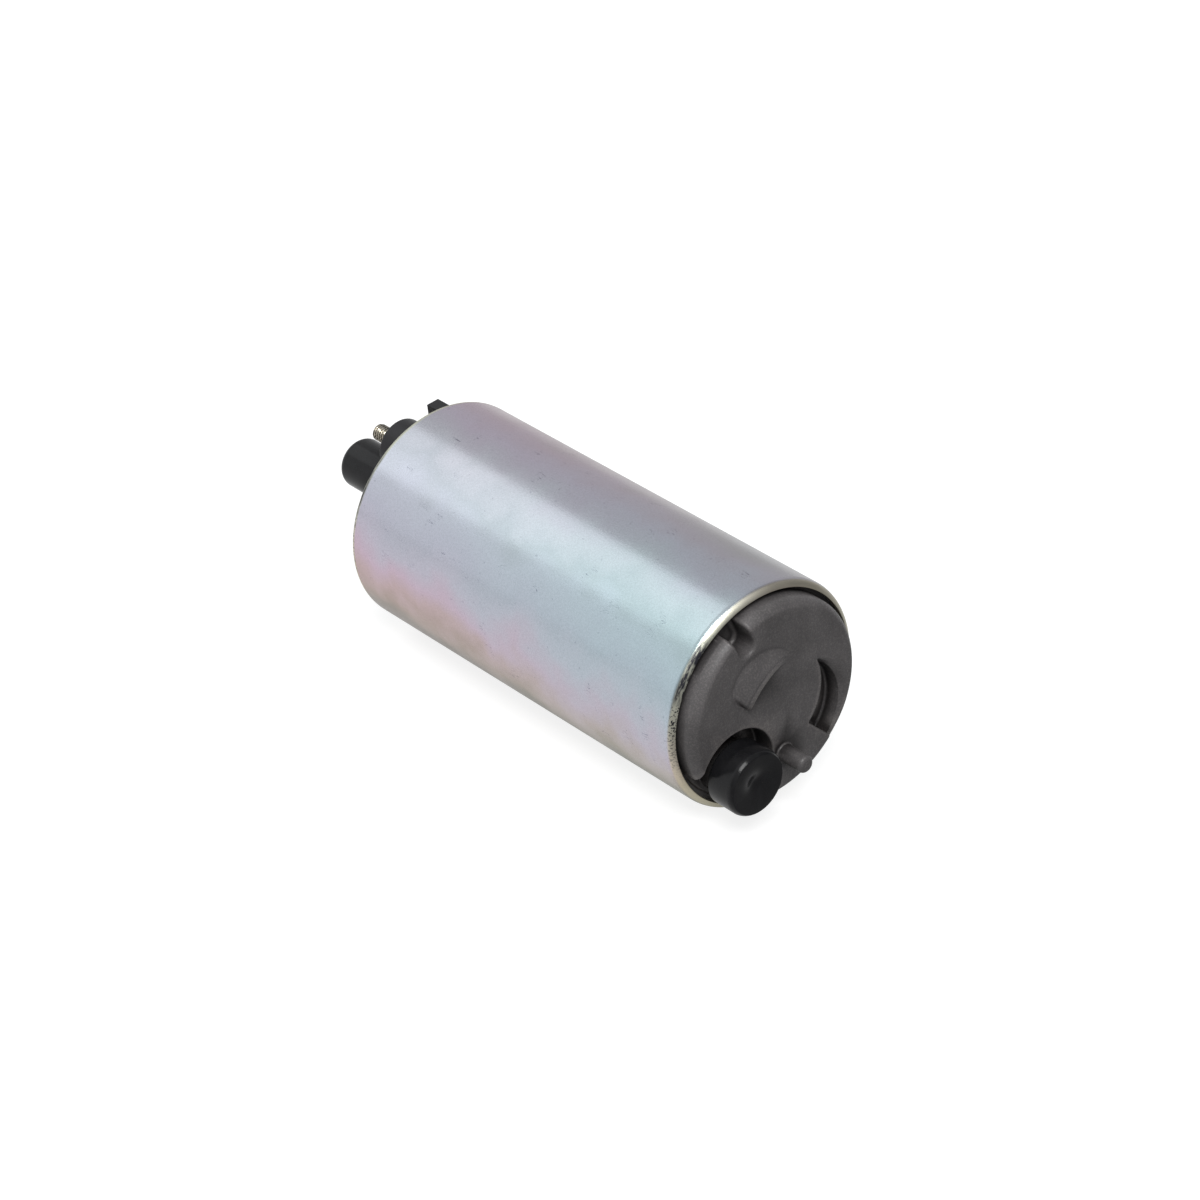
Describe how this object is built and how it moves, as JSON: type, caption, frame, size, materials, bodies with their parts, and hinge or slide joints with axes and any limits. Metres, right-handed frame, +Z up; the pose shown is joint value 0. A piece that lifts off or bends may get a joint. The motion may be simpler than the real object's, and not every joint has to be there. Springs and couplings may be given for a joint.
{
  "type": "electric fuel pump",
  "caption": "Round in-tank electric fuel pump: offset inlet stub and strainer peg on a cast cover, outlet nozzle and two terminal studs on a moulded end cover.",
  "frame": {"origin": "on the axis of the case, halfway between its two rims", "axes": "+X along the case towards the inlet cover, +Z up as the pump lies in its pictured position"},
  "size_m": [0.1461, 0.052, 0.052],
  "materials": {
    "plated_steel": "zinc plated and passivated, satin",
    "cast_aluminium": "dark grey, blasted casting",
    "machined_aluminium": "machined",
    "seal_rubber": "smooth",
    "hard_steel": "ground",
    "bronze": "sintered",
    "phenolic": "moulded",
    "lamination_steel": "stamped",
    "copper": "drawn",
    "black_nylon": "moulded",
    "ferrite": "sintered",
    "spring_steel": "drawn",
    "brown_moulding": "moulded",
    "carbon": "sintered",
    "black_moulding": "moulded, satin",
    "nickel_plate": "nickel plated",
    "white_acetal": "moulded",
    "cap_plastic": "moulded, glossy"
  },
  "bodies": {
    "pump": {"case_shell": "plated_steel", "inlet_cover": "cast_aluminium", "inlet_cover_seal": "seal_rubber", "thrust_pad": "hard_steel", "pump_casing": "machined_aluminium", "pump_bush": "bronze", "magnet_left": "ferrite", "magnet_right": "ferrite", "magnet_clip_upper": "spring_steel", "magnet_clip_lower": "spring_steel", "brush_holder": "brown_moulding", "brush_spring_left": "spring_steel", "brush_spring_right": "spring_steel", "brush_lead_left": "copper", "brush_lead_right": "copper", "choke_core_left": "ferrite", "choke_core_right": "ferrite", "choke_coil_left": "copper", "choke_coil_right": "copper", "end_bush": "bronze", "end_cover": "black_moulding", "end_cover_seal": "seal_rubber", "terminal_stud_positive": "nickel_plate", "terminal_stud_negative": "nickel_plate", "check_valve_seat": "bronze", "check_valve_spring": "spring_steel", "relief_spring": "spring_steel", "relief_plug": "bronze"},
    "rotor": {"impeller": "phenolic", "shaft": "hard_steel", "armature_core": "lamination_steel", "armature_windings": "copper", "commutator_hub": "phenolic", "commutator_bars": "copper", "thrust_washer": "black_nylon"},
    "brush_left": {"brush_left": "carbon"},
    "brush_right": {"brush_right": "carbon"},
    "check_poppet": {"check_valve_poppet": "white_acetal"},
    "relief_ball": {"relief_ball": "hard_steel"},
    "inlet_cap": {"inlet_cap": "cap_plastic"},
    "outlet_cap": {"outlet_cap": "cap_plastic"}
  },
  "joints": [
    {"name": "rotor_spin", "type": "hinge", "parent": "pump", "child": "rotor", "pos_m": [0, 0, 0], "axis": [1, 0, 0], "continuous": true},
    {"name": "brush_left_slide", "type": "slide", "parent": "pump", "child": "brush_left", "axis": [0, -1, 0], "range_m": [0, 0.002], "stiffness_N_per_m": 300, "springref_m": -0.006, "deforming": ["brush_spring_left", "brush_lead_left"]},
    {"name": "brush_right_slide", "type": "slide", "parent": "pump", "child": "brush_right", "axis": [0, 1, 0], "range_m": [0, 0.002], "stiffness_N_per_m": 300, "springref_m": -0.006, "deforming": ["brush_spring_right", "brush_lead_right"]},
    {"name": "check_valve_lift", "type": "slide", "parent": "pump", "child": "check_poppet", "axis": [-1, 0, 0], "range_m": [0, 0.003], "stiffness_N_per_m": 150, "springref_m": -0.004, "deforming": ["check_valve_spring"]},
    {"name": "relief_valve_lift", "type": "slide", "parent": "pump", "child": "relief_ball", "axis": [-1, 0, 0], "range_m": [0, 0.0015], "stiffness_N_per_m": 800, "springref_m": -0.003, "deforming": ["relief_spring"]},
    {"name": "inlet_cap_pull", "type": "slide", "parent": "pump", "child": "inlet_cap", "axis": [1, 0, 0], "range_m": [0, 0.014]},
    {"name": "outlet_cap_pull", "type": "slide", "parent": "pump", "child": "outlet_cap", "axis": [-1, 0, 0], "range_m": [0, 0.016]}
  ]
}
